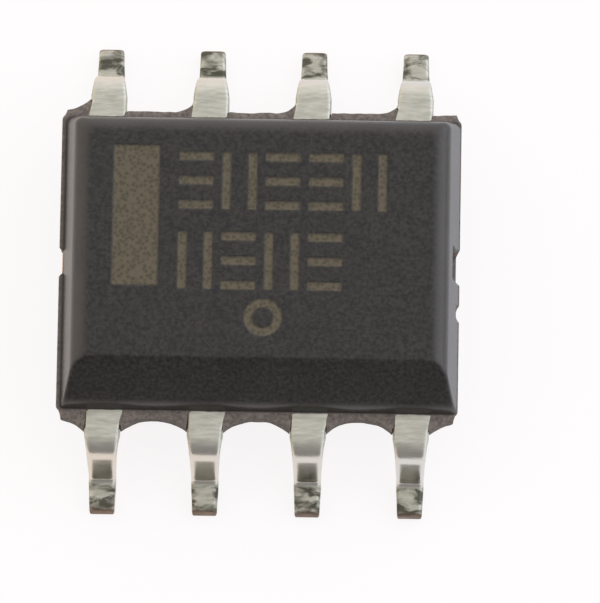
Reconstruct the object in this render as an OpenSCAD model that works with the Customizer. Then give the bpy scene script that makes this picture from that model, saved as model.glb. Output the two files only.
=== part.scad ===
// Eight-lead narrow small-outline package. Millimetres, +Z up, seating plane at z = 0.
// X runs along the rows of leads, pins 1 to 4 lie on the -Y side and pins 5 to 8 on the +Y side.

/* [Moulded body] */
// Length of the body at its parting line
body_length = 4.96; // [4.8:0.01:5]
// Width of the body at its parting line, across the lead rows
body_width = 3.8; // [3.7:0.01:3.9]
// Gap between the board and the underside of the body
standoff = 0.15; // [0.1:0.01:0.25]
// Height of the lower half, from the underside to the parting line
lower_height = 0.825; // [0.75:0.005:0.9]
// Height of the upper half, from the parting line to the top face
upper_height = 0.625; // [0.58:0.005:0.75]
// Draft angle of the upper half's sides
upper_draft = 15; // [5:0.5:16]
// Draft angle of the lower half's sides
lower_draft = 10; // [5:0.5:12]
// Step that the parting line leaves round the upper half
parting_ledge = 0.03; // [0.02:0.005:0.05]
// Sideways offset of the upper half against the lower half
mould_shift = 0.02; // [0:0.005:0.02]
// Leg of the 45 degree bevel along the edge over pins 1 to 4
bevel = 0.47; // [0.25:0.01:0.5]
// Small flat that breaks the bottom edges
edge_break = 0.04; // [0.02:0.005:0.06]
// Radius of the top edges, except the bevelled one
top_radius = 0.25; // [0.05:0.01:0.28]
// Small flat down each of the four corners
corner_break = 0.08; // [0.04:0.01:0.12]

/* [Resin left between the leads] */
// How far the trimmed resin stands proud of the body's sides
web_depth = 0.06; // [0.02:0.01:0.1]
// Distance over which the resin climbs towards a lead
web_run = 0.25; // [0.15:0.01:0.3]
// Climb of the resin beside the leads of pins 1 to 4
web_rise_front = 0.15; // [0.05:0.01:0.15]
// Climb of the resin beside the leads of pins 5 to 8
web_rise_back = 0.09; // [0.05:0.01:0.15]

/* [Leads] */
// Spacing of the leads along a row
pitch = 1.27; // [1.25:0.005:1.28]
// Overall width across the lead tips
tip_to_tip = 5.94; // [5.8:0.01:6.2]
// Thickness of the leadframe sheet
lead_thickness = 0.2; // [0.17:0.005:0.22]
// Width of a lead's leg and foot
lead_width = 0.34; // [0.33:0.01:0.42]
// Width of a lead's shoulder, where it was cut from the dam bar
shoulder_width = 0.45; // [0.43:0.01:0.5]
// Length of the level shoulder outside the body
shoulder_length = 0.29; // [0.26:0.01:0.32]
// Length over which the shoulder narrows to the leg
shoulder_taper = 0.05; // [0.04:0.01:0.1]
// Extra width at the root of the shoulder, on one side only
flare = 0.07; // [0.03:0.01:0.1]
// Length of that wider root outside the body
flare_length = 0.2; // [0.12:0.01:0.24]
// Slope of the leg below the horizontal
leg_angle = 78; // [72:1:85]
// Inside radius of the two bends
bend_radius = 0.08; // [0.06:0.005:0.1]

/* [Inside the resin] */
// Length of the die pad, along the rows
pad_length = 2.5; // [2.3:0.05:2.6]
// Width of the die pad, across the rows
pad_width = 1.9; // [1.7:0.05:2]
// Downset of the die pad below the leads
pad_drop = 0.2; // [0.15:0.01:0.22]
// Gap stamped between the die pad and the fingers of the leads
finger_gap = 0.17; // [0.15:0.01:0.2]
// Length of the widened head of each middle finger
head_length = 0.28; // [0.22:0.01:0.32]
// Width of the widened head of each middle finger
head_width = 0.6; // [0.5:0.01:0.65]
// Width of each corner finger beside the die pad
corner_finger = 0.4; // [0.35:0.01:0.45]
// Distance of the corner fingers' inner ends from the middle line
corner_reach = 0.5; // [0.45:0.01:0.6]
// Width of the two tie bars that carry the die pad
tie_width = 0.26; // [0.22:0.01:0.3]
// Level stretch of each tie bar beside the die pad
tie_flat = 0.1; // [0.05:0.01:0.15]
// Length of the die
die_length = 1.5; // [1.2:0.05:1.7]
// Width of the die
die_width = 1.2; // [1:0.05:1.4]
// Thickness of the die
die_thickness = 0.25; // [0.2:0.01:0.28]
// Thickness of the adhesive under the die
attach_thickness = 0.025; // [0.02:0.005:0.04]
// How far the adhesive spreads past the die
attach_margin = 0.05; // [0.03:0.01:0.08]

/* [Bond wires] */
// Diameter of the wires
wire_diameter = 0.03; // [0.025:0.005:0.04]
// Diameter of the ball on the die
ball_diameter = 0.08; // [0.06:0.005:0.1]
// Height of the ball on the die
ball_height = 0.02; // [0.015:0.005:0.03]
// Spacing of the balls along the die's edge
ball_spacing = 0.35; // [0.3:0.01:0.4]
// Distance of the balls from the die's edge
ball_inset = 0.1; // [0.08:0.01:0.15]
// Height of the upright neck above the ball
neck_height = 0.08; // [0.05:0.01:0.1]
// Radius of the loop's bend
loop_radius = 0.08; // [0.06:0.01:0.1]
// Diameter of the flattened end on the lead
stitch_diameter = 0.09; // [0.07:0.005:0.11]
// Thickness of the flattened end on the lead
stitch_height = 0.016; // [0.012:0.002:0.02]
// Distance of the flattened ends from the finger's edge
stitch_inset = 0.12; // [0.1:0.01:0.15]

/* [Cut tie bars] */
// Width of the notch in the right end
notch_width_right = 0.4; // [0.32:0.01:0.5]
// Depth of the notch in the right end
notch_depth_right = 0.12; // [0.06:0.01:0.14]
// Width of the notch in the left end
notch_width_left = 0.32; // [0.31:0.01:0.5]
// Depth of the notch in the left end
notch_depth_left = 0.04; // [0.03:0.01:0.1]
// Height of the notches above the parting line
notch_rise = 0.3; // [0.1:0.01:0.35]
// Depth of the notches below the leadframe
notch_drop = 0.05; // [0.02:0.01:0.1]
// Width of the small nick in the right end
nick_width = 0.18; // [0.1:0.01:0.25]
// Depth of the small nick in the right end
nick_depth = 0.04; // [0.02:0.01:0.06]
// Distance of the small nick from the middle line
nick_offset = 0.59; // [0.45:0.01:0.7]

/* [Laser marks on the top face] */
// Depth of the marks
mark_depth = 0.012; // [0.005:0.001:0.02]
// Width of the pin 1 bar
bar_width = 0.56; // [0.4:0.01:0.6]
// Length of the pin 1 bar
bar_length = 1.78; // [1.5:0.01:1.8]
// Distance of the pin 1 bar from the middle of the body, towards pin 1's end
bar_x = 1.53; // [1.44:0.01:1.6]
// Place of the pin 1 bar across the body
bar_y = 0.455; // [0.4:0.005:0.5]
// Height of one row of marks
mark_height = 0.72; // [0.55:0.01:0.75]
// Width of one mark
mark_width = 0.42; // [0.35:0.01:0.45]
// Width of the strokes
stroke = 0.1; // [0.08:0.005:0.12]
// Spacing of the marks along a row
mark_spacing = 0.535; // [0.5:0.005:0.55]
// Spacing of the two rows
row_spacing = 1.02; // [0.9:0.01:1.05]
// Place of each row's first mark along the body
first_mark_x = -0.79; // [-0.85:0.01:-0.7]
// Place of the first row across the body
row_y = 0.905; // [0.85:0.005:1]
// Outer diameter of the ring
ring_diameter = 0.47; // [0.4:0.01:0.5]
// Place of the ring along the body
ring_x = 0.06; // [-0.1:0.01:0.2]
// Place of the ring across the body
ring_y = -0.83; // [-0.85:0.01:-0.75]

/* [Hidden] */
PINS = [1:8];
$fn = 48;

// Larger than the package, for the blanks that the body's outlines are cut from
far = 10;
// How far joined shapes run into each other, and cuts run past a face
overlap = 0.05;
// Flats in each bend and rounded edge
arc_steps = 10;
half_length = body_length / 2;
half_width = body_width / 2;
parting_z = standoff + lower_height;
top_z = parting_z + upper_height;
lead_z = parting_z - lead_thickness;
foot_tip = tip_to_tip / 2;
bend_y = half_width + shoulder_length;
web_y = half_width + web_depth;
pad_top = parting_z - pad_drop;
die_z = pad_top + attach_thickness;
die_top = die_z + die_thickness;
finger_y = pad_width / 2 + finger_gap;
finger_x = pad_length / 2 + finger_gap;
// Each mark is three level strokes (1) or two upright strokes (0), row by row
mark_rows = [[1, 0, 1, 1, 0], [0, 1, 0, 1]];

function arc(centre, radius, from, to) =
    [for (i = [0:arc_steps])
        let (a = from + (to - from) * i / arc_steps)
        centre + radius * [cos(a), sin(a)]];

function mirrored(points) = [for (i = [len(points) - 1:-1:0]) [-points[i][0], points[i][1]]];

// ---- moulded body ----

// Right-hand outline of the body, from the bottom edge up to the foot of the upper half.
// reach is the half size at the parting line and slope says how fast that reach draws in.
function side_outline(reach, shift, slope, break) = [
    [reach - slope * lower_height * tan(lower_draft) - break, standoff],
    [reach - slope * (lower_height - break) * tan(lower_draft), standoff + break],
    [reach, parting_z],
    [reach - slope * parting_ledge + shift, parting_z]
];

// Where the upper half's draft would meet the top face.
function top_reach(reach, shift, slope) =
    reach - slope * (parting_ledge + upper_height * tan(upper_draft)) + shift;

// The same outline with its top edge rounded, from the draft to the top face.
function rounded_outline(reach, shift) =
    concat(side_outline(reach, shift, 1, edge_break),
           arc([top_reach(reach, shift, 1) - top_radius * tan(45 - upper_draft / 2), top_z - top_radius],
               top_radius, upper_draft, 90));

// The same outline with a sharp top edge, for the flats down the corners.
function corner_outline(reach, shift) =
    concat(side_outline(reach, shift, sqrt(2), 0), [[top_reach(reach, shift, sqrt(2)), top_z]]);

// Outline of the bevelled side: the bevel takes the place of most of the upper half's draft.
function bevel_outline() =
    let (foot = half_width - parting_ledge - (upper_height - bevel) * tan(upper_draft))
    concat(side_outline(half_width, 0, 1, edge_break), [[foot, top_z - bevel], [foot - bevel, top_z]]);

module side_profile() {
    polygon(concat(rounded_outline(half_length, mould_shift),
                   mirrored(rounded_outline(half_length, -mould_shift))));
}

module end_profile() {
    polygon(concat(rounded_outline(half_width, 0), mirrored(bevel_outline())));
}

// Section through two opposite corners, which gives each corner its flat.
module corner_profile() {
    reach = (half_length + half_width - corner_break) / sqrt(2);
    shift = mould_shift / sqrt(2);
    polygon(concat(corner_outline(reach, shift), mirrored(corner_outline(reach, -shift))));
}

module moulded_block() {
    intersection() {
        rotate([90, 0, 0]) linear_extrude(far, center = true) side_profile();
        rotate([90, 0, 90]) linear_extrude(far, center = true) end_profile();
        for (side = [-1, 1])
            rotate([90, 0, side * 45]) linear_extrude(far, center = true) corner_profile();
    }
}

// Resin beside one lead, climbing from the trimmed edge to the lead along an arc.
module web_climb(rise) {
    radius = (web_run * web_run + rise * rise) / (2 * rise);
    difference() {
        translate([shoulder_width / 2, half_width]) square([web_run, web_depth + rise]);
        translate([shoulder_width / 2 + web_run, web_y + radius]) circle(radius, $fn = 96);
    }
}

module web() {
    translate([0, 0, lead_z]) linear_extrude(lead_thickness) {
        square([body_length - corner_break, 2 * web_y], center = true);
        for (slot = [0:3]) {
            translate([slot_x(slot), 0]) mirror([1, 0]) web_climb(web_rise_back);
            rotate(180) translate([slot_x(slot), 0]) for (side = [0, 1])
                mirror([side, 0]) web_climb(web_rise_front);
        }
    }
}

// Where the tie bars were cut, and a small nick in the right end.
module end_notches() {
    right_notch(notch_depth_right, notch_width_right, 0);
    right_notch(nick_depth, nick_width, -nick_offset);
    mirror([1, 0, 0]) right_notch(notch_depth_left, notch_width_left, 0);
}

module right_notch(depth, width, y) {
    translate([half_length - depth, y - width / 2, lead_z - notch_drop])
        cube([depth + overlap, width, lead_thickness + notch_rise + notch_drop]);
}

module mark_strokes(level) {
    if (level == 1)
        for (i = [-1:1])
            translate([0, i * (mark_height - stroke) / 2]) square([mark_width, stroke], center = true);
    else
        for (i = [-1:2:1])
            translate([i * (mark_width - stroke) / 2, 0]) square([stroke, mark_height], center = true);
}

module laser_marks() {
    translate([0, 0, top_z - mark_depth]) linear_extrude(mark_depth + overlap) {
        translate([-bar_x, bar_y]) square([bar_width, bar_length], center = true);
        for (row = [0:len(mark_rows) - 1], i = [0:len(mark_rows[row]) - 1])
            translate([first_mark_x + i * mark_spacing, row_y - row * row_spacing])
                mark_strokes(mark_rows[row][i]);
        translate([ring_x, ring_y]) difference() {
            circle(d = ring_diameter);
            circle(d = ring_diameter - 2 * stroke);
        }
    }
}

module body() {
    color("#3a3936") difference() {
        union() {
            moulded_block();
            web();
        }
        for (pin = PINS) {
            at_pin(pin) lead_flat(slot_of(pin));
            at_pin(pin) wire_solid(slot_of(pin));
        }
        pad_solid();
        attach_solid();
        die_solid();
        end_notches();
        laser_marks();
    }
}

// ---- leads ----

// Both rows are the same part turned half round, so slots count from -X in the back row.
function slot_of(pin) = 3 - (pin - 1) % 4;
function slot_x(slot) = (slot - 1.5) * pitch;

module at_pin(pin) {
    rotate([0, 0, pin <= 4 ? 180 : 0]) children();
}

// Level part of a lead: its finger in the resin and its shoulder outside.
module lead_flat(slot) {
    x = slot_x(slot);
    half = shoulder_width / 2;
    translate([0, 0, lead_z]) linear_extrude(lead_thickness) {
        translate([x, 0]) polygon([
            [half, finger_y + head_length], [half, bend_y - shoulder_taper],
            [lead_width / 2, bend_y], [-lead_width / 2, bend_y],
            [-half, bend_y - shoulder_taper], [-half, half_width + flare_length],
            [-half - flare, half_width], [-half - flare, half_width - overlap],
            [-half, half_width - overlap - flare], [-half, finger_y + head_length]
        ]);
        if (slot == 0 || slot == 3)
            mirror([slot == 0 ? 1 : 0, 0]) corner_finger_outline(abs(x));
        else
            translate([x, 0]) middle_finger_outline();
    }
}

module middle_finger_outline() {
    head = head_width / 2;
    neck = shoulder_width / 2;
    polygon([
        [-head, finger_y], [head, finger_y], [head, finger_y + head_length - (head - neck)],
        [neck, finger_y + head_length], [neck, finger_y + head_length + overlap],
        [-neck, finger_y + head_length + overlap], [-neck, finger_y + head_length],
        [-head, finger_y + head_length - (head - neck)]
    ]);
}

module corner_finger_outline(x) {
    near = x - shoulder_width / 2;
    away = x + shoulder_width / 2;
    bend = finger_y + head_length;
    polygon([
        [finger_x, corner_reach], [finger_x + corner_finger, corner_reach],
        [away, corner_reach + away - finger_x - corner_finger], [away, bend + overlap],
        [near, bend + overlap], [near, bend], [finger_x, bend - (near - finger_x)]
    ]);
}

// Shoulder end, leg and foot as one bent strip, drawn in the Y-Z plane.
module lead_bent() {
    outer = bend_radius + lead_thickness;
    bends = bend_radius + outer;
    leg = (lead_z - bends * (1 - cos(leg_angle))) / sin(leg_angle);
    upper = [bend_y, lead_z - bend_radius];
    lower = [bend_y + bends * sin(leg_angle) + leg * cos(leg_angle), outer];
    rotate([90, 0, 90]) linear_extrude(lead_width, center = true) polygon(concat(
        [[bend_y - overlap, parting_z]],
        arc(upper, outer, 90, 90 - leg_angle),
        arc(lower, bend_radius, 270 - leg_angle, 270),
        [[foot_tip, lead_thickness], [foot_tip, 0]],
        arc(lower, outer, 270, 270 - leg_angle),
        arc(upper, bend_radius, 90 - leg_angle, 90),
        [[bend_y - overlap, lead_z]]
    ));
}

module lead(pin) {
    slot = slot_of(pin);
    color("#b4b2ac") at_pin(pin) {
        lead_flat(slot);
        translate([slot_x(slot), 0, 0]) lead_bent();
    }
}

// ---- die pad and die ----

// Tie bar along +X, from under the die pad up to the level of the leads and out to the notch.
module tie_bar(notch_depth) {
    slant = lead_thickness * tan(22.5);
    ramp = pad_length / 2 + tie_flat;
    rotate([90, 0, 0]) linear_extrude(tie_width, center = true) polygon([
        [0, pad_top], [ramp, pad_top], [ramp + pad_drop, parting_z],
        [half_length - notch_depth, parting_z], [half_length - notch_depth, lead_z],
        [ramp + pad_drop + slant, lead_z], [ramp + slant, pad_top - lead_thickness],
        [0, pad_top - lead_thickness]
    ]);
}

module pad_solid() {
    translate([0, 0, pad_top - lead_thickness / 2])
        cube([pad_length, pad_width, lead_thickness], center = true);
    tie_bar(notch_depth_right);
    mirror([1, 0, 0]) tie_bar(notch_depth_left);
}

module attach_solid() {
    spread = 2 * attach_margin;
    translate([0, 0, pad_top + attach_thickness / 2])
        cube([die_length + spread, die_width + spread, attach_thickness], center = true);
}

module die_solid() {
    translate([0, 0, die_z + die_thickness / 2])
        cube([die_length, die_width, die_thickness], center = true);
}

module die_pad() {
    color("#b87333") pad_solid();
}

module die_attach() {
    color("#c8c8c4") attach_solid();
}

module die() {
    color("#5b6470") die_solid();
}

// ---- bond wires ----

function ball_place(slot) = [(slot - 1.5) * ball_spacing, die_width / 2 - ball_inset];
function stitch_place(slot) =
    slot == 0 || slot == 3
        ? [sign(slot - 1.5) * (finger_x + stitch_inset), corner_reach + corner_finger]
        : [slot_x(slot), finger_y + stitch_inset];

// A ball on the die, an upright neck, a bend, and a straight run down to the lead.
module wire_solid(slot) {
    start = ball_place(slot);
    span = stitch_place(slot) - start;
    centre_z = die_top + ball_height + neck_height;
    end_z = parting_z + wire_diameter / 2;
    dx = norm(span) - loop_radius;
    dz = centre_z - end_z;
    down = atan2(dz, dx) + asin(loop_radius / norm([dx, dz]));
    translate([start[0], start[1], 0]) rotate([0, 0, atan2(span[1], span[0])]) {
        translate([0, 0, die_top]) cylinder(d = ball_diameter, h = ball_height);
        translate([0, 0, die_top + ball_height]) cylinder(d = wire_diameter, h = neck_height);
        translate([loop_radius, 0, centre_z]) {
            rotate([90, 0, 0]) rotate([0, 0, 90 - down])
                rotate_extrude(angle = 90 + down) translate([loop_radius, 0]) circle(d = wire_diameter);
            rotate([0, 90 + down, 0]) translate([-loop_radius, 0, 0])
                cylinder(d = wire_diameter, h = sqrt(dx * dx + dz * dz - loop_radius * loop_radius));
        }
        translate([norm(span), 0, parting_z]) cylinder(d = stitch_diameter, h = stitch_height);
    }
}

module bond_wire(pin) {
    color("#d9a441") at_pin(pin) wire_solid(slot_of(pin));
}

body();
die_pad();
die_attach();
die();
for (pin = PINS) {
    lead(pin);
    bond_wire(pin);
}
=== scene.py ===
"""Looks of an eight-lead small-outline chip: moulded body, tinned leads, and what the resin seals in."""
import math

import bpy
import numpy as np
from mathutils import Matrix, Vector


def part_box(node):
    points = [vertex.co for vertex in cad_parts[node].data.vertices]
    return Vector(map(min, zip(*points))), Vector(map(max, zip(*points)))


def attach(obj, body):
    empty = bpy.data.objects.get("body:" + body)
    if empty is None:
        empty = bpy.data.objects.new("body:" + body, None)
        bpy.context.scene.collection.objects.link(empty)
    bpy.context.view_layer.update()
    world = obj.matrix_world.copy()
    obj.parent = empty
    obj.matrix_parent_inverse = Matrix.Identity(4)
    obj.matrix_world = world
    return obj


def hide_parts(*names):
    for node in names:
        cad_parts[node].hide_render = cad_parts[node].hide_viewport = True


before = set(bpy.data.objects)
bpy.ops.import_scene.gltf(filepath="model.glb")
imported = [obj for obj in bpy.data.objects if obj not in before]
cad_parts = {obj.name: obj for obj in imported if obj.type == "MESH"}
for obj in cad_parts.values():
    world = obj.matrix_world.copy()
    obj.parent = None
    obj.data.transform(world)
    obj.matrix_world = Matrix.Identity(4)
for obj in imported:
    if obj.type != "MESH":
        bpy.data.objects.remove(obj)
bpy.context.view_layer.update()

# ---- sizes in millimetres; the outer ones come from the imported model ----

MM = 0.001
BODY_LOW, BODY_HIGH = (np.array(corner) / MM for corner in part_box("body"))
LEAD_HIGH = np.array(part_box("lead_8")[1]) / MM
HALF_LENGTH, TOP, BOTTOM = BODY_HIGH[0], BODY_HIGH[2], BODY_LOW[2]
FOOT_TIP, PARTING = LEAD_HIGH[1], LEAD_HIGH[2]
THICKNESS = 0.2
LEAD_UNDER = PARTING - THICKNESS
HALF_WIDTH = 1.9
UPPER_ANGLE, LOWER_ANGLE = 15, 10
UPPER_DRAFT, LOWER_DRAFT = math.tan(math.radians(UPPER_ANGLE)), math.tan(math.radians(LOWER_ANGLE))
LEDGE = 0.03
MOULD_SHIFT = 0.02
BEVEL = 0.47
BEVEL_CROWN, BEVEL_SOFT = 0.012, 0.012
TOP_RADIUS = 0.25
BOTTOM_RADIUS = 0.05
# Corner radii seen from above: upper half front and back, round the parting step, and lower half
FRONT_CORNER, BACK_CORNER, STEP_CORNER, LOWER_CORNER = 0.05, 0.1, 0.07, 0.1
PITCH = 1.27
BEND_Y = HALF_WIDTH + 0.29
BEND_RADIUS = 0.08
LEG_ANGLE = math.radians(78)

# The trimmed resin between the leads: how far it stands out, and its climb to a lead as run and rise
WEB_DEPTH = 0.06
FRONT_CLIMB, BACK_CLIMB, END_CLIMB = (0.38, 0.15), (0.24, 0.1), (0.33, 0.15)

# The notches in the ends: width and depth, how far they drop and rise, and the nick beside the right one
RIGHT_NOTCH, LEFT_NOTCH = (0.4, 0.13), (0.32, 0.05)
NOTCH_DROP, NOTCH_RISE, NOTCH_SOFT = 0.05, 0.3, 0.015
NICK_Y, NICK_HALF_WIDTH, NICK_DEPTH = -0.59, 0.09, 0.04

# Laser marks
MARK_DEPTH, MARK_SOFT = 0.012, 0.012
BAR_CENTRE, BAR_SIZE = (-1.53, 0.455), (0.56, 1.78)
FIRST_MARK_X, MARK_SPACING, FIRST_ROW_Y, ROW_SPACING = -0.79, 0.535, 0.905, 1.02
MARK_WIDTH, MARK_HEIGHT, STROKE = 0.42, 0.72, 0.1
RING_X, RING_Y, RING_RADIUS = 0.06, -0.83, 0.185

# Leads seen from above: shoulder, foot, flare at the root, taper over the bend, and the cut end's corners
SHOULDER, LEAD_WIDTH = 0.45, 0.34
FLARE, FLARE_RUN = 0.07, 0.2
FLARE_INSIDE, FLARE_STARTS = 0.05, 0.12
TAPER_STARTS = BEND_Y - 0.03
TAPER = 0.015
# Fingers inside the resin: where those of the end leads and of the middle leads start, and their corners
END_FINGER, MIDDLE_FINGER = 0.5, 1.12
INNER_X, OUTER_X, INNER_KNEE, OUTER_KNEE = 1.42, 1.82, 1.14, 0.81
FINGER_HALF_WIDTH, FINGER_ENDS, NECK = 0.3, 1.325, 1.4
# Edges: rolled by the punch above, sheared below, and drawn down at the cut end
ROLLED_RADIUS, SHEARED_RADIUS = 0.055, 0.02
DRAWN_LENGTH, DRAWN_DROP, DRAWN_IN = 0.03, 0.035, 0.012


# ---- helpers ----

def smooth(value, low, high):
    """Smoothstep: 0 at low, 1 at high, with level ends."""
    t = np.clip((value - low) / (high - low), 0, 1)
    return t * t * (3 - 2 * t)


def soft_min(a, b, blend):
    """The smaller of two lengths, rounded off where they cross: -blend * log(exp(-a/blend) +
    exp(-b/blend))."""
    return -blend * np.logaddexp(-a / blend, -b / blend)


def ripple(x, y, seed, size=3.0):
    """Fixed unevenness of about -1 to 1: six sines of x and y (mm), each 1.7 times finer and 1.5 times
    fainter."""
    rng = np.random.default_rng(seed)
    total = 0.0
    for i in range(6):
        angle, phase = rng.uniform(0, 2 * np.pi, 2)
        total = total + np.sin((x * np.cos(angle) + y * np.sin(angle)) * size * 1.7 ** i + phase) / 1.5 ** i
    return total / 2.2


def new_piece(name, points, quads, caps, replaced, material, attributes):
    """A smooth-shaded mesh from points in mm, with sharp edges above 38 degrees, in place of a CAD node.
    Its faces are turned outwards: if the signed volume (a sum of corner-to-corner products) is negative,
    they flip."""
    points = np.asarray(points, dtype=float)
    a, b, c, d = (points[quads[:, i]] for i in range(4))
    volume = np.einsum("ij,ij->", a, np.cross(b, c)) + np.einsum("ij,ij->", a, np.cross(c, d))
    if volume < 0:
        quads, caps = quads[:, ::-1], [cap[::-1] for cap in caps]
    corners = np.concatenate([quads.ravel(), *caps]).astype(np.int32)
    sizes = np.array([4] * len(quads) + [len(cap) for cap in caps], dtype=np.int32)
    mesh = bpy.data.meshes.new(name)
    mesh.vertices.add(len(points))
    mesh.vertices.foreach_set("co", (points * MM).astype(np.float32).ravel())
    mesh.loops.add(len(corners))
    mesh.loops.foreach_set("vertex_index", corners)
    mesh.polygons.add(len(sizes))
    mesh.polygons.foreach_set("loop_start", np.concatenate([[0], np.cumsum(sizes)[:-1]]).astype(np.int32))
    mesh.polygons.foreach_set("use_smooth", np.ones(len(sizes), dtype=bool))
    mesh.update(calc_edges=True)
    mesh.set_sharp_from_angle(angle=math.radians(38))
    for attribute, values in attributes.items():
        layer = mesh.attributes.new(attribute, "FLOAT", "POINT")
        layer.data.foreach_set("value", np.asarray(values, dtype=np.float32).ravel())
    piece = bpy.data.objects.new(name, mesh)
    bpy.context.scene.collection.objects.link(piece)
    mesh.materials.append(material)
    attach(piece, "root")
    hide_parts(replaced)
    return piece


# ---- material nodes ----

def linear(code):
    """An sRGB hex colour as linear red, green, blue and alpha 1."""
    parts = [int(code[i:i + 2], 16) / 255 for i in (1, 3, 5)]
    return (*(v / 12.92 if v <= 0.04045 else ((v + 0.055) / 1.055) ** 2.4 for v in parts), 1.0)


def add(tree, kind, sockets=None, stops=None, **settings):
    """Adds one node. settings are its properties, sockets gives each input a value or another node's
    output, and stops are a ramp's places and grey levels or hex colours."""
    made = tree.nodes.new(kind)
    for key, value in settings.items():
        setattr(made, key, value)
    for key, value in (sockets or {}).items():
        if isinstance(value, bpy.types.NodeSocket):
            tree.links.new(value, made.inputs[key])
        else:
            made.inputs[key].default_value = value
    if stops:
        ramp = made.color_ramp
        while len(ramp.elements) < len(stops):
            ramp.elements.new(0.5)
        for element, (place, level) in zip(ramp.elements, stops):
            element.position = place
            element.color = linear(level) if isinstance(level, str) else (level, level, level, 1.0)
    return made


def new_material(name):
    """An empty node material with its output and a surface shader; returns the tree and the shader."""
    material = bpy.data.materials.new(name)
    material.use_nodes = True
    tree = material.node_tree
    tree.nodes.clear()
    surface = add(tree, "ShaderNodeBsdfPrincipled")
    add(tree, "ShaderNodeOutputMaterial", {"Surface": surface.outputs["BSDF"]})
    return material, tree, surface


def per_mm(size):
    """Texture scale, per metre, that gives features of this size in millimetres."""
    return 1 / (size * MM)


def moulding_compound():
    """Epoxy moulding compound: black resin packed with ground silica, transfer moulded in a spark-eroded
    mould. It looks charcoal and dull with an even grain. Rounded edges and drafted sides are glossier,
    and their colour is painted greyer as a painted reflection of the bright room. The laser burns it to
    a matt olive grey, and where it was broken or trimmed between the leads the filler shows as a dusty
    brown grey."""
    material, tree, surface = new_material("epoxy_moulding_compound")
    place = add(tree, "ShaderNodeTexCoord").outputs["Object"]
    # Real filler grains are 0.01 to 0.05 mm; they are drawn at 0.045 mm so that they show
    grain = add(tree, "ShaderNodeTexNoise", {"Vector": place, "Scale": per_mm(0.045), "Detail": 2.0,
                                             "Roughness": 0.6})
    cloud = add(tree, "ShaderNodeTexNoise", {"Vector": place, "Scale": per_mm(0.5), "Detail": 4.0,
                                             "Roughness": 0.6})
    shade = add(tree, "ShaderNodeValToRGB", {"Fac": grain.outputs["Fac"]},
                stops=[(0.36, "#0d0c0b"), (0.64, "#33312d")])
    tone = add(tree, "ShaderNodeValToRGB", {"Fac": cloud.outputs["Fac"]}, stops=[(0.35, 0.78), (0.65, 1.0)])
    resin = add(tree, "ShaderNodeMix", {"Factor": 1.0, 6: shade.outputs["Color"], 7: tone.outputs["Color"]},
                data_type="RGBA", blend_type="MULTIPLY")
    edge = add(tree, "ShaderNodeAttribute", attribute_name="edge")
    # Painted sheen: on the rounded edges and drafted sides the colour is lightened towards #3f3c39, a painted
    # reflection of uneven strength; the roughness there is also lower
    painted_sheen = add(tree, "ShaderNodeMapRange", {"Value": cloud.outputs["Fac"], "From Min": 0.3, "From Max": 0.7,
                                              "To Min": 0.65, "To Max": 1.0})
    painted_sheen = add(tree, "ShaderNodeMath", {0: edge.outputs["Fac"], 1: painted_sheen.outputs["Result"]},
                 operation="MULTIPLY")
    with_painted_sheen = add(tree, "ShaderNodeMix", {"Factor": painted_sheen.outputs[0], 6: resin.outputs[2], 7: linear("#3f3c39")},
               data_type="RGBA")
    # The laser leaves pits about 0.05 mm apart in its strokes
    pits = add(tree, "ShaderNodeTexVoronoi", {"Vector": place, "Scale": per_mm(0.05)})
    burnt = add(tree, "ShaderNodeValToRGB", {"Fac": pits.outputs["Distance"]},
                stops=[(0.1, "#4c4739"), (0.7, "#67604f")])
    mark = add(tree, "ShaderNodeAttribute", attribute_name="mark")
    marked = add(tree, "ShaderNodeMix", {"Factor": mark.outputs["Fac"], 6: with_painted_sheen.outputs[2],
                                         7: burnt.outputs["Color"]}, data_type="RGBA")
    dust = add(tree, "ShaderNodeValToRGB", {"Fac": grain.outputs["Fac"]},
               stops=[(0.3, "#5f5852"), (0.7, "#8b827b")])
    broken = add(tree, "ShaderNodeAttribute", attribute_name="broken")
    colour = add(tree, "ShaderNodeMix", {"Factor": broken.outputs["Fac"], 6: marked.outputs[2],
                                         7: dust.outputs["Color"]}, data_type="RGBA")
    rough = add(tree, "ShaderNodeMapRange", {"Value": cloud.outputs["Fac"], "From Min": 0.3, "From Max": 0.7,
                                             "To Min": 0.44, "To Max": 0.54})
    glossier = add(tree, "ShaderNodeMix", {"Factor": edge.outputs["Fac"], 2: rough.outputs["Result"], 3: 0.24})
    matt = add(tree, "ShaderNodeMath", {0: mark.outputs["Fac"], 1: broken.outputs["Fac"]}, operation="MAXIMUM")
    finish = add(tree, "ShaderNodeMix", {"Factor": matt.outputs[0], 2: glossier.outputs[0], 3: 0.85})
    bump = add(tree, "ShaderNodeBump", {"Height": grain.outputs["Fac"], "Strength": 0.5,
                                        "Distance": 0.005 * MM})
    tree.links.new(colour.outputs[2], surface.inputs["Base Color"])
    tree.links.new(finish.outputs[0], surface.inputs["Roughness"])
    tree.links.new(bump.outputs["Normal"], surface.inputs["Normal"])
    surface.inputs["IOR"].default_value = 1.52
    return material


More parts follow.
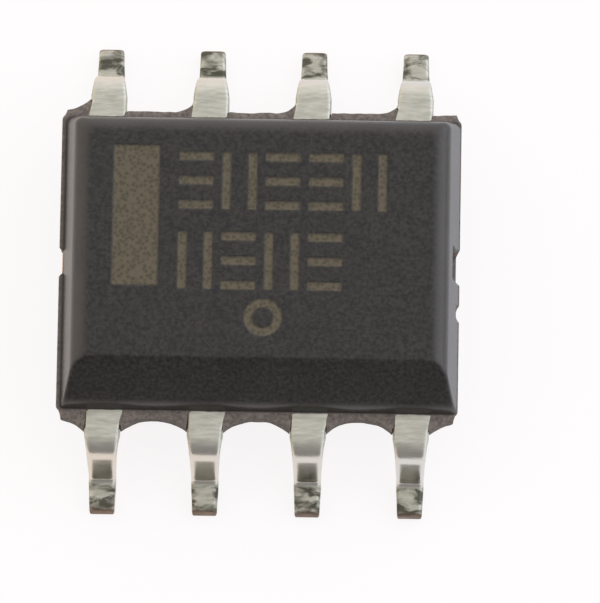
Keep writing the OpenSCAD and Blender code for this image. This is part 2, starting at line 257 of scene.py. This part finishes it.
def matte_tin():
    """Matte tin, electroplated over a copper alloy frame and cut from it afterwards: pale grey, a little
    green on the shoulders, with fine slanting streaks. The forming tool burnishes the bends and the leg,
    which are smoother and painted lighter as a painted highlight; the foot is painted darker in uneven
    slanting patches, and the cut end is brown bare metal."""
    material, tree, surface = new_material("matte_tin_plating")
    place = add(tree, "ShaderNodeTexCoord").outputs["Object"]
    # Scratches run at about 40 degrees to the row, 0.03 mm wide and several times as long
    slanting = add(tree, "ShaderNodeMapping", {"Vector": place, "Rotation": (0.0, 0.0, -0.7),
                                               "Scale": (0.2, 1.0, 0.6)})
    streak = add(tree, "ShaderNodeTexNoise", {"Vector": slanting.outputs["Vector"], "Scale": per_mm(0.045),
                                              "Detail": 3.0, "Roughness": 0.6})
    # Uneven slanting patches, about 0.15 mm across: they darken the foot and vary the roughness
    patch_stretch = add(tree, "ShaderNodeMapping", {"Vector": place, "Rotation": (0.0, 0.0, -0.7),
                                              "Scale": (0.45, 1.0, 0.6)})
    patch_noise = add(tree, "ShaderNodeTexNoise", {"Vector": patch_stretch.outputs["Vector"], "Scale": per_mm(0.12),
                                              "Detail": 3.0, "Roughness": 0.55, "Distortion": 0.5})
    # Tin crystals are a few thousandths of a millimetre; they are drawn at 0.02 mm so that they show
    crystal = add(tree, "ShaderNodeTexNoise", {"Vector": place, "Scale": per_mm(0.02), "Detail": 2.0})
    foot = add(tree, "ShaderNodeAttribute", attribute_name="foot")
    burnish_and_highlight = add(tree, "ShaderNodeAttribute", attribute_name="burnish_and_highlight")
    bare = add(tree, "ShaderNodeAttribute", attribute_name="bare")
    plated = add(tree, "ShaderNodeValToRGB", {"Fac": streak.outputs["Fac"]},
                 stops=[(0.35, "#c3c5ba"), (0.65, "#dddcd4")])
    # Bends and leg: colour painted lighter (#ece8e2) as a painted highlight, on top of their real burnishing,
    # which lowers the roughness
    bright = add(tree, "ShaderNodeMix", {"Factor": burnish_and_highlight.outputs["Fac"], 6: plated.outputs["Color"],
                                         7: linear("#ece8e2")}, data_type="RGBA")
    # On the foot the tin is painted darker in these patches
    foot_patches = add(tree, "ShaderNodeValToRGB", {"Fac": patch_noise.outputs["Fac"]},
                stops=[(0.4, "#77766e"), (0.56, "#e9e8e2")])
    foot_darkening = add(tree, "ShaderNodeMix", {"Factor": foot.outputs["Fac"], 6: linear("#f2f2ee"),
                                         7: foot_patches.outputs["Color"]}, data_type="RGBA")
    tin = add(tree, "ShaderNodeMix", {"Factor": 1.0, 6: bright.outputs[2], 7: foot_darkening.outputs[2]},
              data_type="RGBA", blend_type="MULTIPLY")
    copper = add(tree, "ShaderNodeValToRGB", {"Fac": streak.outputs["Fac"]},
                 stops=[(0.3, "#574538"), (0.7, "#8f7b6a")])
    colour = add(tree, "ShaderNodeMix", {"Factor": bare.outputs["Fac"], 6: tin.outputs[2],
                                         7: copper.outputs["Color"]}, data_type="RGBA")
    rough = add(tree, "ShaderNodeMapRange", {"Value": patch_noise.outputs["Fac"], "From Min": 0.35, "From Max": 0.65,
                                             "To Min": 0.5, "To Max": 0.38})
    finish = add(tree, "ShaderNodeMix", {"Factor": burnish_and_highlight.outputs["Fac"], 2: rough.outputs["Result"],
                                         3: 0.26})
    bump = add(tree, "ShaderNodeBump", {"Height": streak.outputs["Fac"], "Strength": 0.3,
                                        "Distance": 0.006 * MM})
    fine = add(tree, "ShaderNodeBump", {"Height": crystal.outputs["Fac"], "Strength": 0.25,
                                        "Distance": 0.003 * MM, "Normal": bump.outputs["Normal"]})
    tree.links.new(colour.outputs[2], surface.inputs["Base Color"])
    tree.links.new(finish.outputs[0], surface.inputs["Roughness"])
    tree.links.new(fine.outputs["Normal"], surface.inputs["Normal"])
    surface.inputs["Metallic"].default_value = 1.0
    return material


def copper_alloy():
    """Copper alloy lead frame: stamped sheet, pinkish where the tie bars were cut, with fine rolling
    lines."""
    material, tree, surface = new_material("copper_alloy_sheet")
    place = add(tree, "ShaderNodeTexCoord").outputs["Object"]
    rolled = add(tree, "ShaderNodeMapping", {"Vector": place, "Scale": (0.12, 1.0, 1.0)})
    # The rolling lines are finer than 0.01 mm; they are drawn at 0.03 mm so that they show
    lines = add(tree, "ShaderNodeTexNoise", {"Vector": rolled.outputs["Vector"], "Scale": per_mm(0.03),
                                             "Detail": 2.0})
    colour = add(tree, "ShaderNodeValToRGB", {"Fac": lines.outputs["Fac"]},
                 stops=[(0.3, "#c99a86"), (0.7, "#e6c1ae")])
    rough = add(tree, "ShaderNodeMapRange", {"Value": lines.outputs["Fac"], "To Min": 0.3, "To Max": 0.5})
    bump = add(tree, "ShaderNodeBump", {"Height": lines.outputs["Fac"], "Strength": 0.3,
                                        "Distance": 0.003 * MM})
    tree.links.new(colour.outputs["Color"], surface.inputs["Base Color"])
    tree.links.new(rough.outputs["Result"], surface.inputs["Roughness"])
    tree.links.new(bump.outputs["Normal"], surface.inputs["Normal"])
    surface.inputs["Metallic"].default_value = 1.0
    return material


def die_adhesive():
    """Silver-filled epoxy, dispensed and cured: dull pale grey paste with flakes of about 0.01 mm, drawn
    at 0.02."""
    material, tree, surface = new_material("silver_filled_epoxy")
    place = add(tree, "ShaderNodeTexCoord").outputs["Object"]
    flakes = add(tree, "ShaderNodeTexVoronoi", {"Vector": place, "Scale": per_mm(0.02)})
    colour = add(tree, "ShaderNodeValToRGB", {"Fac": flakes.outputs["Distance"]},
                 stops=[(0.1, "#cfcdc8"), (0.8, "#96938e")])
    bump = add(tree, "ShaderNodeBump", {"Height": flakes.outputs["Distance"], "Strength": 0.4,
                                        "Distance": 0.004 * MM})
    tree.links.new(colour.outputs["Color"], surface.inputs["Base Color"])
    tree.links.new(bump.outputs["Normal"], surface.inputs["Normal"])
    surface.inputs["Metallic"].default_value = 0.4
    surface.inputs["Roughness"].default_value = 0.6
    return material


def silicon():
    """A silicon die, polished and patterned: dark blue-grey gloss with rectangular fields of circuit,
    0.12 mm wide."""
    material, tree, surface = new_material("silicon_die")
    place = add(tree, "ShaderNodeTexCoord").outputs["Object"]
    fields = add(tree, "ShaderNodeTexVoronoi", {"Vector": place, "Scale": per_mm(0.12), "Randomness": 0.35},
                 distance="CHEBYCHEV")
    split = add(tree, "ShaderNodeSeparateColor", {"Color": fields.outputs["Color"]})
    colour = add(tree, "ShaderNodeValToRGB", {"Fac": split.outputs["Red"]},
                 stops=[(0.0, "#3c4350"), (0.5, "#59616e"), (1.0, "#7a7668")])
    bump = add(tree, "ShaderNodeBump", {"Height": split.outputs["Red"], "Strength": 0.2,
                                        "Distance": 0.002 * MM})
    tree.links.new(colour.outputs["Color"], surface.inputs["Base Color"])
    tree.links.new(bump.outputs["Normal"], surface.inputs["Normal"])
    surface.inputs["Metallic"].default_value = 0.5
    surface.inputs["Roughness"].default_value = 0.18
    return material


def gold_wire():
    """Drawn gold wire, 0.03 mm thick: warm yellow, smooth, with drawing lines finer than the wire."""
    material, tree, surface = new_material("gold_bond_wire")
    place = add(tree, "ShaderNodeTexCoord").outputs["Object"]
    lines = add(tree, "ShaderNodeTexNoise", {"Vector": place, "Scale": per_mm(0.02), "Detail": 2.0})
    colour = add(tree, "ShaderNodeValToRGB", {"Fac": lines.outputs["Fac"]},
                 stops=[(0.3, "#e0b04c"), (0.7, "#f4cf73")])
    bump = add(tree, "ShaderNodeBump", {"Height": lines.outputs["Fac"], "Strength": 0.2,
                                        "Distance": 0.001 * MM})
    tree.links.new(colour.outputs["Color"], surface.inputs["Base Color"])
    tree.links.new(bump.outputs["Normal"], surface.inputs["Normal"])
    surface.inputs["Metallic"].default_value = 1.0
    surface.inputs["Roughness"].default_value = 0.2
    return material


# ---- moulded body ----

def box_share(x, y, centre, size):
    """1 inside a rectangle, 0 outside, with an edge that falls off over twice MARK_SOFT."""
    across = smooth(size[0] / 2 - abs(x - centre[0]), -MARK_SOFT, MARK_SOFT)
    return across * smooth(size[1] / 2 - abs(y - centre[1]), -MARK_SOFT, MARK_SOFT)


def marks(x, y):
    """Share of laser mark at each point: the pin 1 bar, two rows of plain strokes, and a ring."""
    share = box_share(x, y, BAR_CENTRE, BAR_SIZE)
    level_step, upright_step = (MARK_HEIGHT - STROKE) / 2, (MARK_WIDTH - STROKE) / 2
    for row, kinds in enumerate(((1, 0, 1, 1, 0), (0, 1, 0, 1))):
        for i, kind in enumerate(kinds):
            cx, cy = FIRST_MARK_X + i * MARK_SPACING, FIRST_ROW_Y - row * ROW_SPACING
            strokes = [(cx, cy + k * level_step, MARK_WIDTH, STROKE) for k in (-1, 0, 1)] if kind else [
                (cx + k * upright_step, cy, STROKE, MARK_HEIGHT) for k in (-1, 1)]
            for sx, sy, width, height in strokes:
                share = np.maximum(share, box_share(x, y, (sx, sy), (width, height)))
    radius = np.hypot(x - RING_X, y - RING_Y)
    return np.maximum(share, smooth(STROKE / 2 - abs(radius - RING_RADIUS), -MARK_SOFT, MARK_SOFT))


def web(x, row):
    """How far the trimmed resin stands out from the side between the leads (mm), and where there is any
    (0 to 1). It climbs to a lead's flank along a circle: rise r over run w, radius (w * w + r * r) / (2 *
    r). In front it climbs on both sides of a lead, behind on the left only, and further beside the end
    lead."""
    share = smooth(HALF_LENGTH - 0.035 - abs(x), 0.0, 0.02)
    out = WEB_DEPTH + 0.02 * ripple(x, 0 * x, 12 + row, 0.9) + 0.007 * ripple(x, 0 * x, 5 + row, 14.0)
    for slot in range(4):
        offset = x - (slot - 1.5) * PITCH
        run, rise = FRONT_CLIMB if row < 0 else END_CLIMB if slot == 0 else BACK_CLIMB
        radius = (run * run + rise * rise) / (2 * rise)
        near = np.clip(abs(offset) - SHOULDER / 2, 0, run)
        climb = radius - np.sqrt(radius ** 2 - (run - near) ** 2)
        out += np.where((row < 0) | (offset < 0), climb, 0)
        share = share * (abs(offset) > SHOULDER / 2 - 0.012)
    return out, share


def notch_limit(y, z, end):
    """Half length left by the broken tie bar's notch in one end (+1 right, -1 left), and how far in it
    lies (0 to 1). The notch is a box sunk by its depth, with soft edges and an uneven floor."""
    floor_z, roof_z = LEAD_UNDER - NOTCH_DROP, PARTING + NOTCH_RISE
    height = smooth(z, floor_z - NOTCH_SOFT, floor_z + NOTCH_SOFT)
    height = height * (1 - smooth(z, roof_z - NOTCH_SOFT, roof_z + NOTCH_SOFT))
    width, depth = RIGHT_NOTCH if end > 0 else LEFT_NOTCH
    inside = smooth(width / 2 - abs(y), -NOTCH_SOFT, NOTCH_SOFT) * height
    sunk = depth * inside * (1 + 0.04 * ripple(y, z, 9, 20.0))
    if end > 0:
        nick = smooth(NICK_HALF_WIDTH - abs(y - NICK_Y), -0.02, 0.02) * height
        sunk, inside = np.maximum(sunk, NICK_DEPTH * nick), np.maximum(inside, nick)
    return HALF_LENGTH - sunk, inside


def round_corners(x, y, left, right, front, back, front_radius, back_radius):
    """Turns a rectangle's corners into arcs: within a radius of a corner, concentric squares become
    circles, so a point at (dx, dy) from the arc's centre moves to the distance max(dx, dy) in its own
    direction."""
    radius = np.where(y > 0, back_radius, front_radius)
    centre_x = np.where(x > 0, right - radius, -left + radius)
    centre_y = np.where(y > 0, back - radius, -front + radius)
    dx, dy = (x - centre_x) * np.sign(x), (y - centre_y) * np.sign(y)
    corner = (dx > 0) & (dy > 0)
    scale = np.where(corner, np.maximum(dx, dy) / np.maximum(np.hypot(dx, dy), 1e-9), 1)
    return np.where(corner, centre_x + np.sign(x) * dx * scale, x), np.where(
        corner, centre_y + np.sign(y) * dy * scale, y)


def body_levels():
    """The body's level outlines from the top edge down, one row each: height, reach left, right, front
    and back, radius of the front and back corners, the web's share, and the share of painted sheen (a
    lighter colour standing in for reflection) on the edge at the ends and back and at the front. The top
    edges follow a circle that touches the top face and the draft; the bevel at the front runs down at 45
    degrees, slightly crowned, until the draft takes over."""
    rows = []
    turn = np.radians(np.linspace(90, UPPER_ANGLE, 11))
    meet = LEDGE + (TOP - PARTING) * UPPER_DRAFT
    centre = meet + TOP_RADIUS * math.tan(math.radians((90 - UPPER_ANGLE) / 2))
    rounded = [(TOP - TOP_RADIUS * (1 - math.sin(t)), centre - TOP_RADIUS * math.cos(t), 1 - t / turn[0])
               for t in turn]
    roof = PARTING + NOTCH_RISE
    straight = np.concatenate([np.linspace(TOP - 0.22, roof + 2 * NOTCH_SOFT, 4),
                               [roof + NOTCH_SOFT, roof, roof - NOTCH_SOFT],
                               np.linspace(roof - 0.04, PARTING + 0.015, 9), [PARTING]])
    rounded += [(z, LEDGE + (z - PARTING) * UPPER_DRAFT, 1.0) for z in straight]
    for z, inset, painted_sheen in rounded:
        level = (TOP - z) / BEVEL
        bevel = HALF_WIDTH - LEDGE - (TOP - BEVEL - PARTING) * UPPER_DRAFT - BEVEL * (1 - level)
        bevel += BEVEL_CROWN * 4 * level * (1 - level) - 0.02 * math.exp(-(TOP - z) / 0.01)
        draft = HALF_WIDTH - LEDGE - (z - PARTING) * UPPER_DRAFT
        # The last two columns: share of painted sheen (lighter colour standing in for reflection) at the ends
        # and back, and at the front where the draft takes over from the bevel
        rows.append((z, HALF_LENGTH - inset - MOULD_SHIFT, HALF_LENGTH - inset + MOULD_SHIFT,
                     soft_min(bevel, draft, BEVEL_SOFT), HALF_WIDTH - inset, FRONT_CORNER, BACK_CORNER, 0,
                     smooth(painted_sheen, 0.0, 0.35), smooth(bevel - draft, -0.03, 0.02)))
    for drop, inset, share in ((0.002, 0.012, 0), (0.006, 0.004, 0.8), (0.016, 0.0, 1)):
        rows.append((PARTING - drop, *[HALF_LENGTH - inset] * 2, *[HALF_WIDTH - inset] * 2,
                     STEP_CORNER, STEP_CORNER, share, 1, 1))
    for rise, share in ((0.1, 1), (0.016, 1), (0.006, 0.8), (0.004, 0)):
        inset = (PARTING - LEAD_UNDER - rise) * LOWER_DRAFT
        rows.append((LEAD_UNDER + rise, *[HALF_LENGTH - inset] * 2, *[HALF_WIDTH - inset] * 2,
                     STEP_CORNER, STEP_CORNER, share, 1, 1))
    sill = LEAD_UNDER - NOTCH_DROP
    lower = np.concatenate([[sill + NOTCH_SOFT, sill, sill - NOTCH_SOFT],
                            np.linspace(LEAD_UNDER - 0.1, BOTTOM + 0.07, 5),
                            BOTTOM + BOTTOM_RADIUS * (1 - np.sin(np.radians(np.arange(0, 91, 15))))])
    for z in lower:
        height = max(BOTTOM + BOTTOM_RADIUS - z, 0)
        rounding = BOTTOM_RADIUS - math.sqrt(max(BOTTOM_RADIUS ** 2 - height ** 2, 0))
        inset = (PARTING - z) * LOWER_DRAFT + rounding
        rows.append((z, *[HALF_LENGTH - inset] * 2, *[HALF_WIDTH - inset] * 2,
                     LOWER_CORNER, LOWER_CORNER, 0, 1, 1))
    return np.array(rows)


def body_piece(material):
    """The moulded body as one closed skin. Its top is a grid of x and y, sunk by the laser marks; its
    sides are level outlines that carry on from the grid's border, and its underside is one flat face."""
    levels = body_levels()
    left, right, front, back, front_radius, back_radius = levels[0, 1:7]
    columns, rows = 241, 165
    u, v = np.meshgrid(np.linspace(0, 1, columns), np.linspace(0, 1, rows))
    x, y = round_corners(-left + u * (left + right), -front + v * (front + back), left, right, front, back,
                         front_radius, back_radius)
    mark = marks(x, y)
    index = np.arange(columns * rows).reshape(rows, columns)
    border = np.concatenate([index[0, :-1], index[:-1, -1], index[-1, :0:-1], index[:0:-1, 0]])
    side_u, side_v = u.ravel()[border], v.ravel()[border]
    height, left, right, front, back, front_radius, back_radius, share, painted_sheen, painted_sheen_front = (
        column[:, None] for column in levels[1:].T)
    sx, sy = -left + side_u * (left + right), -front + side_v * (front + back)
    row = np.where(side_v == 0, -1, np.where(side_v == 1, 1, 0))
    # The edge attribute carries the painted sheen: a lighter colour standing in for reflection
    edge = np.where(row < 0, painted_sheen_front, painted_sheen)
    for side in (-1, 1):
        out, where = web(sx, side)
        where = where * share * (row == side)
        sy = sy + where * (side * (HALF_WIDTH + out) - sy)
    sx, sy = round_corners(sx, sy, left, right, front + 0 * sx, back + 0 * sx, front_radius, back_radius)
    sz = height + 0 * sx
    broken = ((height < PARTING - 0.001) & (height > LEAD_UNDER)) + 0 * sx
    for end in (-1, 1):
        limit, inside = notch_limit(sy, sz, end)
        cut = sx * end > limit
        broken = np.maximum(broken, cut * inside)
        sx = np.where(cut, end * limit, sx)
    top = np.stack([x.ravel(), y.ravel(), TOP - MARK_DEPTH * mark.ravel()], axis=1)
    sides = np.stack([sx.ravel(), sy.ravel(), sz.ravel()], axis=1)
    rings = np.vstack([border, columns * rows + np.arange(sx.size).reshape(-1, len(border))])
    ahead = np.roll(rings, -1, axis=1)
    grid = np.stack([index[:-1, :-1], index[:-1, 1:], index[1:, 1:], index[1:, :-1]], axis=-1).reshape(-1, 4)
    wall = np.stack([rings[1:], ahead[1:], ahead[:-1], rings[:-1]], axis=-1).reshape(-1, 4)
    plain = np.zeros(x.size)
    return new_piece(
        "moulded_body", np.vstack([top, sides]), np.vstack([grid, wall]), [rings[-1][::-1]],
        "body", material, {
            "mark": np.concatenate([mark.ravel(), np.zeros(sx.size)]),
            "broken": np.concatenate([plain, broken.ravel()]),
            "edge": np.concatenate([plain, edge.ravel()])})


# ---- leads ----

def lead_outline(slot, y):
    """Left and right edges (mm) of a lead seen from above, at each distance y from the middle line.
    Straight lines join the corners of the stamped shape: finger, root with its flare, shoulder, and
    leg."""
    half, leg = SHOULDER / 2, LEAD_WIDTH / 2
    root = HALF_WIDTH
    left = [(root - FLARE_STARTS, -half), (root - FLARE_INSIDE, -half - FLARE), (root, -half - FLARE),
            (root + FLARE_RUN, -half), (TAPER_STARTS, -half), (BEND_Y + 0.2, -leg - TAPER),
            (BEND_Y + 0.3, -leg), (FOOT_TIP - 0.35, -leg), (FOOT_TIP, -leg + TAPER)]
    right = [(x_y, -edge) for x_y, edge in left[4:]]
    centre = (slot - 1.5) * PITCH
    if slot in (1, 2):
        wide = FINGER_HALF_WIDTH
        left = [(MIDDLE_FINGER, -wide), (FINGER_ENDS, -wide), (NECK, -half), *left]
        right = [(MIDDLE_FINGER, wide), (FINGER_ENDS, wide), (NECK, half), *right]
    else:
        far_x = abs(centre)
        inner = [(END_FINGER, INNER_X - far_x), (INNER_KNEE, INNER_X - far_x), (NECK, -half)]
        outer = [(END_FINGER, OUTER_X - far_x), (OUTER_KNEE, half)]
        if slot == 3:
            left, right = [*inner, *left], [*outer, *right]
        else:
            left, right = [*((a, -b) for a, b in outer), *left], [*((a, -b) for a, b in inner), *right]
    return centre + np.interp(y, *zip(*left)), centre + np.interp(y, *zip(*right))


def lead_path(slot):
    """Stations along a lead's middle line, as y, z and slope below level: level finger and shoulder, an
    arc of 78 degrees, the straight leg, the arc back to level, and the foot to its cut end."""
    middle = BEND_RADIUS + THICKNESS / 2
    start = MIDDLE_FINGER if slot in (1, 2) else END_FINGER
    corners = [start, OUTER_KNEE, INNER_KNEE, FINGER_ENDS, NECK, HALF_WIDTH - FLARE_STARTS,
               HALF_WIDTH - FLARE_INSIDE, HALF_WIDTH, HALF_WIDTH + FLARE_RUN, TAPER_STARTS]
    stations = [[c for c in corners if c >= start], np.linspace(start, HALF_WIDTH, 12),
                np.linspace(HALF_WIDTH, BEND_Y, 14)]
    level = np.unique(np.round(np.concatenate(stations), 4))
    turn = np.linspace(0, LEG_ANGLE, 13)
    drop = LEAD_UNDER - 2 * middle * (1 - math.cos(LEG_ANGLE))
    leg = np.linspace(0, drop / math.sin(LEG_ANGLE), 16)[1:-1]
    heel_y = BEND_Y + 2 * middle * math.sin(LEG_ANGLE) + drop / math.tan(LEG_ANGLE)
    leg_y = BEND_Y + middle * math.sin(LEG_ANGLE) + leg * math.cos(LEG_ANGLE)
    leg_z = LEAD_UNDER - BEND_RADIUS + middle * math.cos(LEG_ANGLE) - leg * math.sin(LEG_ANGLE)
    foot = np.concatenate([np.linspace(heel_y, FOOT_TIP - 0.05, 12)[1:],
                           FOOT_TIP - np.array([0.03, 0.015, 0.005, 0.0])])
    y = np.concatenate([level, BEND_Y + middle * np.sin(turn[1:]), leg_y, heel_y - middle * np.sin(turn[::-1]),
                        foot])
    z = np.concatenate([0 * level + LEAD_UNDER + THICKNESS / 2,
                        LEAD_UNDER - BEND_RADIUS + middle * np.cos(turn[1:]), leg_z,
                        BEND_RADIUS + THICKNESS - middle * np.cos(turn[::-1]), 0 * foot + THICKNESS / 2])
    slope = np.concatenate([0 * level, turn[1:], 0 * leg + LEG_ANGLE, turn[::-1], 0 * foot])
    return y, z, slope


def lead_piece(pin, material):
    """One lead: a rounded rectangle carried along the middle line, its sides set by the outline, its
    upper edges rolled by the punch, its cut end drawn down, and its plating uneven by a few thousandths
    of a millimetre."""
    slot = 3 - (pin - 1) % 4
    y, z, slope = lead_path(slot)
    left, right = lead_outline(slot, y)
    quarter = np.radians(np.linspace(0, 90, 5))
    flat = np.linspace(-1, 1, 9)[1:-1]
    one, level, sine, cosine = quarter * 0 + 1, flat * 0 + 1, np.sin(quarter), np.cos(quarter)
    side = np.concatenate([one, -flat, -one, -one, flat, one])
    rise = np.concatenate([one, level, one, -one, -level, -one])
    out = np.concatenate([cosine, 0 * level, -sine, -cosine, 0 * level, sine])
    up = np.concatenate([sine, level, cosine, -sine, -level, -cosine])
    radius = np.where(rise > 0, ROLLED_RADIUS, SHEARED_RADIUS)
    half, centre = ((right - left) / 2)[:, None], ((right + left) / 2)[:, None]
    travel = np.concatenate([[0], np.cumsum(np.hypot(np.diff(y), np.diff(z)))])[:, None]
    drawn = np.clip(1 - (FOOT_TIP - y) / DRAWN_LENGTH, 0, 1)[:, None] ** 2 * (z < THICKNESS)[:, None]
    across = side * (half - radius - DRAWN_IN * drawn) + out * radius
    above = rise * (THICKNESS / 2 - radius) + up * radius - DRAWN_DROP * drawn * (rise > 0)
    uneven = -0.0015 * (1 + ripple(across + pin * 7.0, travel, 21, 9.0))
    x = centre + across + out * uneven
    lift = above + up * uneven
    py = y[:, None] + lift * np.sin(slope)[:, None]
    pz = z[:, None] + lift * np.cos(slope)[:, None]
    turned = -1 if pin <= 4 else 1
    points = np.stack([turned * x, turned * py, np.maximum(pz, 0)], axis=-1).reshape(-1, 3)
    bare = smooth(y, FOOT_TIP - 0.04, FOOT_TIP) * (z < THICKNESS)
    foot = smooth(y, BEND_Y + 0.36, BEND_Y + 0.46)
    # Bends and leg: smoother, and painted lighter as a painted highlight
    burnish_and_highlight = smooth(slope, 0.1, 0.9) * (1 - foot)
    index = np.arange(x.size).reshape(x.shape)
    ahead = np.roll(index, -1, axis=1)
    quads = np.stack([index[:-1], ahead[:-1], ahead[1:], index[1:]], axis=-1).reshape(-1, 4)
    return new_piece(f"lead_pin_{pin}", points, quads, [index[0][::-1], index[-1]], f"lead_{pin}",
                     material, {name: np.broadcast_to(along[:, None], x.shape) for name, along in (
                         ("bare", bare), ("foot", foot), ("burnish_and_highlight", burnish_and_highlight))})


# ---- the piece list ----

resin, tin = moulding_compound(), matte_tin()
body_piece(resin)
for pin in range(1, 9):
    lead_piece(pin, tin)
inner_finishes = {"die_pad": copper_alloy(), "die_attach": die_adhesive(), "die": silicon()}
wire_finish = gold_wire()
inner_finishes.update({f"bond_wire_{pin}": wire_finish for pin in range(1, 9)})
for node, finish in inner_finishes.items():
    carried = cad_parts[node]
    carried.data.materials.clear()
    carried.data.materials.append(finish)


# ---- floor, light and camera ----

# Strength of the room towards the front and the back, and what its sides add to that
FRONT_LIGHT, BACK_LIGHT, RIGHT_LIGHT, LEFT_LIGHT = 0.3, 1.15, 0.8, 0.2


def floor():
    """A plain white sheet under the feet. The camera and reflections see it nearly white, with the
    object's shadow kept in a share of its brightness; other rays meet a plain pale surface. Reflections
    see it a little warm towards the left and cool towards the right, as the room is."""
    mesh = bpy.data.meshes.new("floor")
    corners = np.array([(-1, -1, 0), (1, -1, 0), (1, 1, 0), (-1, 1, 0)], dtype=float)
    mesh.from_pydata(corners.tolist(), [], [(0, 1, 2, 3)])
    sheet = bpy.data.objects.new("floor", mesh)
    bpy.context.scene.collection.objects.link(sheet)
    material = bpy.data.materials.new("white_sheet")
    material.use_nodes = True
    tree = material.node_tree
    tree.nodes.clear()
    ray = add(tree, "ShaderNodeLightPath")
    seen = add(tree, "ShaderNodeMath", {0: ray.outputs["Is Camera Ray"], 1: ray.outputs["Is Glossy Ray"]},
               operation="MAXIMUM")
    seen = add(tree, "ShaderNodeMath", {0: seen.outputs[0], 1: ray.outputs["Is Transmission Ray"]},
               operation="MAXIMUM")
    plain = add(tree, "ShaderNodeBsdfDiffuse", {"Color": linear("#e6e5e3")})
    shadow = add(tree, "ShaderNodeBsdfDiffuse", {"Color": linear("#6a6a6a")})
    across = add(tree, "ShaderNodeSeparateXYZ", {"Vector": add(tree, "ShaderNodeTexCoord").outputs["Object"]})
    side = add(tree, "ShaderNodeMapRange", {"Value": across.outputs["X"], "From Min": -2 * MM,
                                            "From Max": 2 * MM})
    tint = add(tree, "ShaderNodeMix", {"Factor": side.outputs["Result"], 6: linear("#fff4ed"),
                                       7: linear("#f9f9ff")}, data_type="RGBA")
    hue = add(tree, "ShaderNodeMix", {"Factor": ray.outputs["Is Camera Ray"], 6: tint.outputs[2],
                                      7: linear("#fffdfd")}, data_type="RGBA")
    glow = add(tree, "ShaderNodeEmission", {"Color": hue.outputs[2], "Strength": 0.88})
    bright = add(tree, "ShaderNodeAddShader", {0: shadow.outputs[0], 1: glow.outputs[0]})
    mixed = add(tree, "ShaderNodeMixShader", {0: seen.outputs[0], 1: plain.outputs[0], 2: bright.outputs[0]})
    add(tree, "ShaderNodeOutputMaterial", {"Surface": mixed.outputs[0]})
    mesh.materials.append(material)


def surroundings():
    """The room's light, by direction: an even ceiling, a dim front, and near the horizon a bright back
    and right side and a plainer, warmer left. The camera sees plain white."""
    world = bpy.data.worlds.new("pale_room")
    bpy.context.scene.world = world
    world.use_nodes = True
    tree = world.node_tree
    tree.nodes.clear()
    axis = add(tree, "ShaderNodeSeparateXYZ", {"Vector": add(tree, "ShaderNodeTexCoord").outputs["Generated"]})
    depth = add(tree, "ShaderNodeMapRange", {"Value": axis.outputs["Y"], "From Min": -0.9, "From Max": 0.8,
                                             "To Min": FRONT_LIGHT, "To Max": BACK_LIGHT},
                interpolation_type="SMOOTHSTEP")
    right = add(tree, "ShaderNodeMapRange", {"Value": axis.outputs["X"], "From Min": 0.2, "From Max": 0.9,
                                             "To Min": 0.0, "To Max": RIGHT_LIGHT},
                interpolation_type="SMOOTHSTEP")
    left = add(tree, "ShaderNodeMapRange", {"Value": axis.outputs["X"], "From Min": -0.2, "From Max": -0.9,
                                            "To Min": 0.0, "To Max": LEFT_LIGHT},
               interpolation_type="SMOOTHSTEP")
    strength = add(tree, "ShaderNodeMath", {0: depth.outputs["Result"], 1: right.outputs["Result"]},
                   operation="ADD")
    strength = add(tree, "ShaderNodeMath", {0: strength.outputs[0], 1: left.outputs["Result"]},
                   operation="ADD")
    tint = add(tree, "ShaderNodeMapRange", {"Value": axis.outputs["X"], "From Min": -0.8, "From Max": 0.8})
    hue = add(tree, "ShaderNodeMix", {"Factor": tint.outputs["Result"], 6: linear("#fff5ec"),
                                      7: linear("#f4f6ff")}, data_type="RGBA")
    room = add(tree, "ShaderNodeBackground", {"Color": hue.outputs[2], "Strength": strength.outputs[0]})
    white = add(tree, "ShaderNodeBackground", {"Color": (1.0, 1.0, 1.0, 1.0), "Strength": 1.0})
    ray = add(tree, "ShaderNodeLightPath")
    mixed = add(tree, "ShaderNodeMixShader", {0: ray.outputs["Is Camera Ray"], 1: room.outputs[0],
                                              2: white.outputs[0]})
    add(tree, "ShaderNodeOutputWorld", {"Surface": mixed.outputs[0]})


def camera():
    """A long lens 144 mm above the chip, leaning 14.6 degrees towards pins 1 to 4 and half a degree to
    the right, and turned one degree, then moved sideways to frame the chip a little off centre."""
    lean, side, roll = math.radians(14.634), math.radians(0.511), math.radians(-1.024)
    back = Vector((math.cos(lean) * math.sin(side), -math.sin(lean), math.cos(lean) * math.cos(side)))
    level = Vector((math.cos(side), 0, -math.sin(side)))
    steep = back.cross(level)
    right = level * math.cos(roll) - steep * math.sin(roll)
    up = level * math.sin(roll) + steep * math.cos(roll)
    distance, view_width = 144.18 * MM, 7.514 * MM
    lens = bpy.data.cameras.new("camera")
    lens.sensor_width = 36
    lens.lens = 36 * distance / view_width
    lens.clip_start, lens.clip_end = 0.001, 10
    made = bpy.data.objects.new("camera", lens)
    made.matrix_world = Matrix.Translation(back * distance + right * 0.4987 * MM - up * 0.2059 * MM) @ Matrix(
        (right, up, back)).transposed().to_4x4()
    bpy.context.scene.collection.objects.link(made)
    bpy.context.scene.camera = made


floor()
surroundings()
camera()
bpy.context.scene.view_settings.view_transform = "Standard"
